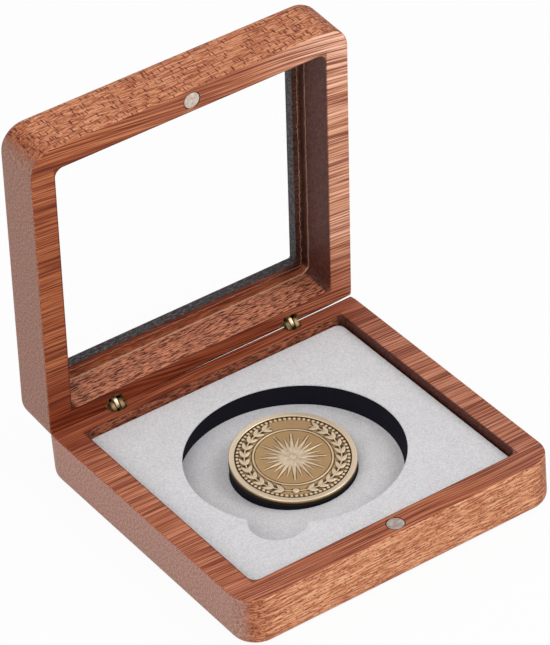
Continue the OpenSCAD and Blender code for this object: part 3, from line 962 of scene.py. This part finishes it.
# %% Strike the coin
COIN_STEPS = 400
FRONT_RINGS, BACK_RINGS = 134, 90
COIN_R = 13.25
COIN_LOW, COIN_TOP = 0.02, 1.62
COIN_FIELD = 0.2
COIN_BEVEL = 0.15
COIN_FACE_UP = np.radians(59)
FIELD_SHINE, BRIGHT_AT, FOOT_AT = 0.45, 0.13, 0.07
FRONT_REACH, BACK_REACH = 3, 2
EDGE_PAINTED_HIGHLIGHT, SIDE_PAINTED_SHADE = 0.6, -1.4
coin_turn = np.arange(COIN_STEPS) * 2 * np.pi / COIN_STEPS
front_radius = np.linspace(0, COIN_R - COIN_BEVEL, FRONT_RINGS)[:, None]
back_radius = np.linspace(COIN_R - COIN_BEVEL, 0, BACK_RINGS)[:, None]


def shine(relief, reach):
    """What wear leaves bright: high points, less the brown that stays at the foot of each shape,
    where the heights round about are greater than a point's own."""
    padded = np.pad(relief, ((reach, reach), (0, 0)), mode="edge")
    shifts = [np.roll(padded[reach + up:len(padded) - reach + up], round_by, axis=1)
              for up in (-reach, 0, reach) for round_by in (-reach, 0, reach)]
    around = np.mean(shifts, axis=0)
    high = (1 - FIELD_SHINE) * np.clip(relief / BRIGHT_AT, 0, 1)
    return FIELD_SHINE + high - np.clip((around - relief) / FOOT_AT, 0, 1)


front_relief = coin_relief(front_radius, coin_turn - COIN_FACE_UP + np.pi / 2)
back_relief = coin_relief(back_radius, coin_turn)
flat = np.ones_like(coin_turn)
coin_radius = np.concatenate([front_radius, [[COIN_R], [COIN_R]], back_radius]) * flat
coin_height = np.concatenate([
    COIN_TOP - COIN_FIELD + front_relief,
    (COIN_TOP - COIN_BEVEL) * flat[None],
    (COIN_LOW + COIN_BEVEL) * flat[None],
    COIN_LOW + COIN_FIELD - back_relief,
])
# painted highlight and painted shade on the coin's side: its top ring is marked bright and its foot near
# black
painted_side_light = np.array([[EDGE_PAINTED_HIGHLIGHT], [SIDE_PAINTED_SHADE]]) * flat
coin_wear_and_side_light = np.concatenate([
    shine(front_relief, FRONT_REACH),
    painted_side_light,
    shine(back_relief, BACK_REACH),
])
coin_deep = coin_radius * np.sin(coin_turn)
coin_points = np.stack([
    COIN_AT[0] + coin_radius * np.cos(coin_turn),
    COIN_AT[1] + coin_deep * math.cos(COIN_LEAN) - coin_height * math.sin(COIN_LEAN),
    REST_Z + coin_deep * math.sin(COIN_LEAN) + coin_height * math.cos(COIN_LEAN),
], axis=-1) * MM
print("coin", 2 * COIN_R, "mm across, leaning", round(math.degrees(COIN_LEAN), 1), "degrees")

# %% The coin's finish
MOTTLE_SHARE, SCUFF_SHARE = 0.35, 0.25
DARK_WEAR_AND_SHADE, MIDDLE_WEAR, BRIGHT_WEAR_AND_HIGHLIGHT = -0.3, 0.4, 1.0
coin_brass = Finish("coin_brass", Metallic=0.7)
bright = coin_brass.add("Attribute", {"attribute_name": "shine"}, output="Fac")
coin_place = coin_brass.place()
mottle = coin_brass.noise(coin_place, (0.5, 0.5, 0.5), detail=4.0, rough=0.65)
scuff = coin_brass.noise(coin_place, (5.0, 5.0, 5.0), detail=2.0, rough=0.6)
# this value is the real wear of the faces, with the painted light of the side added in
wear_and_side_light = bright + MOTTLE_SHARE * (mottle - 0.5) + SCUFF_SHARE * (scuff - 0.5)
coin_tone = coin_brass.blend(wear_and_side_light.step(DARK_WEAR_AND_SHADE, MIDDLE_WEAR), srgb(40, 30, 20), srgb(182, 149, 105))
coin_tone = coin_brass.blend(wear_and_side_light.step(MIDDLE_WEAR, BRIGHT_WEAR_AND_HIGHLIGHT), coin_tone, srgb(222, 205, 178))
coin_brass.feed(Base_Color=coin_tone, Roughness=0.5 - 0.18 * wear_and_side_light)
coin_faces = quads(len(coin_points), COIN_STEPS, False, True)
struck = piece("struck_coin", coin_points, coin_faces, "coin", [coin_brass], math.pi, {"shine": coin_wear_and_side_light})
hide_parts("coin")

# %% [markdown]
# ## The stage
# A white floor, an even white world and two soft lamps, one from each side of the front. Floor and
# world are white to the camera, and to what it sees in metal and through glass, but they light the
# box at a plain level, and the floor still takes the box's shadow.

# %% Floor and world
FLOOR_SIZE = 3.0
FLOOR_Z = -0.0001
FLOOR_GLOW = 0.94
WORLD_LIGHT = 0.63


def seen(tree):
    """1 for rays from the camera, direct or by way of metal or glass, and 0 for light on its way."""
    paths = tree.add("LightPath").socket.node.outputs
    names = ("Is Camera Ray", "Is Glossy Ray", "Is Transmission Ray")
    camera_ray, glossy_ray, glass_ray = [Value(tree, paths[name]) for name in names]
    return camera_ray.math("MAXIMUM", glossy_ray).math("MAXIMUM", glass_ray)


floor_mesh = bpy.data.meshes.new("floor")
floor_corners = np.array([[-1, -1, 0], [1, -1, 0], [1, 1, 0], [-1, 1, 0]]) * FLOOR_SIZE + [0, 0, FLOOR_Z]
floor_mesh.from_pydata(floor_corners, [], [(0, 1, 2, 3)])
floor = bpy.data.objects.new("floor", floor_mesh)
bpy.context.scene.collection.objects.link(floor)
white = Finish("floor_white", Base_Color=(0.8, 0.8, 0.8, 1), Roughness=1.0)
lit = Value(white, white.shader.outputs[0])
glow = white.add("Emission", {}, {"Color": (1, 1, 1, 1), "Strength": 1.0})
mixed = white.add("MixShader", {}, [seen(white) * FLOOR_GLOW, lit, glow])
white.plug(white.tree.nodes["Material Output"].inputs["Surface"], mixed)
floor_mesh.materials.append(white.material)

world = bpy.data.worlds.new("studio")
world.use_nodes = True
bpy.context.scene.world = world
sky = NodeTree(world.node_tree)
background = sky.tree.nodes["Background"]
sky.plug(background.inputs["Color"], (1, 1, 1, 1))
sky.plug(background.inputs["Strength"], WORLD_LIGHT + (1 - WORLD_LIGHT) * seen(sky))
print("floor at", FLOOR_Z, "m, world light", WORLD_LIGHT)


# %% Lamps
def lamp(name, position, target, size, watts):
    """A square area lamp that looks at a point."""
    data = bpy.data.lights.new(name, "AREA")
    data.size = size
    data.energy = watts
    made = bpy.data.objects.new(name, data)
    aim = (Vector(target) - Vector(position)).to_track_quat("-Z", "Y")
    made.matrix_world = Matrix.Translation(position) @ aim.to_matrix().to_4x4()
    bpy.context.scene.collection.objects.link(made)
    print(name, "lamp,", watts, "watts")


lamp("key", position=(0.55, -0.45, 0.75), target=(0, 0, 0.02), size=0.5, watts=2.9)
lamp("fill", position=(-0.6, -0.4, 0.5), target=(0, 0, 0.03), size=0.6, watts=2.5)
